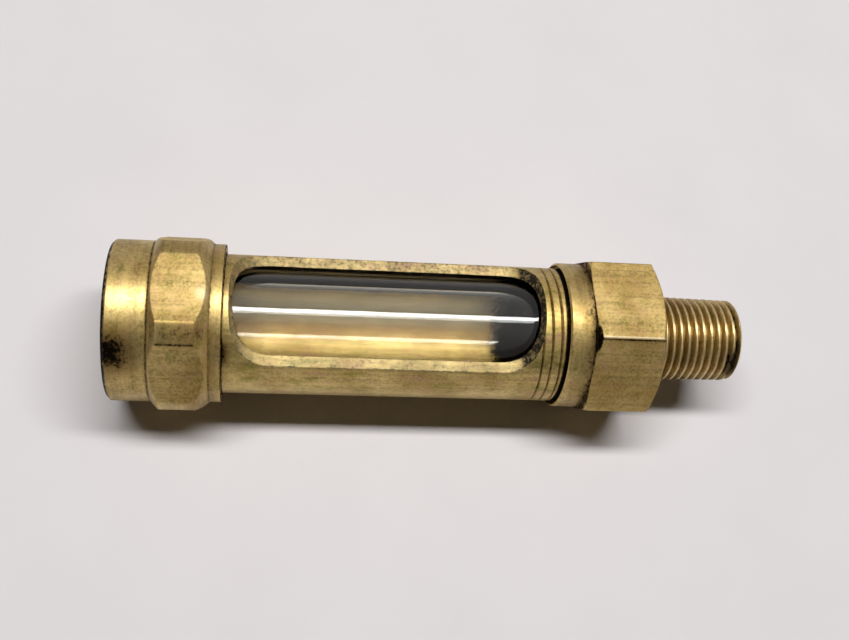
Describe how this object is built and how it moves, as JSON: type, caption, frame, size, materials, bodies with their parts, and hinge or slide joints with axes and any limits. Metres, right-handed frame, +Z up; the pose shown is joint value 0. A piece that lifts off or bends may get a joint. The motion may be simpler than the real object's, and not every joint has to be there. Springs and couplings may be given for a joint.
{
  "type": "tank level gauge",
  "caption": "Straight sight-glass level gauge: clear tube in a slotted brass barrel, with a threaded port at one end and a male pipe stem at the other.",
  "frame": {"origin": "bottom centre of the gauge as it lies on a flat of the port fitting's hexagon", "axes": "+X along the gauge's axis, towards the male stem; +Z up, square to the sight window's milled floor"},
  "size_m": [0.074, 0.0206, 0.0191],
  "materials": {
    "barrel_brass": "aged satin, drawn lengthwise",
    "fitting_brass": "aged satin, turned",
    "clear_glass": "clear, polished",
    "black_rubber": "matt"
  },
  "bodies": {
    "root": {"window_barrel": "barrel_brass", "port_fitting": "fitting_brass", "stem_fitting": "fitting_brass", "glass_tube": "clear_glass", "port_end_gasket": "black_rubber", "stem_end_gasket": "black_rubber"}
  },
  "joints": []
}
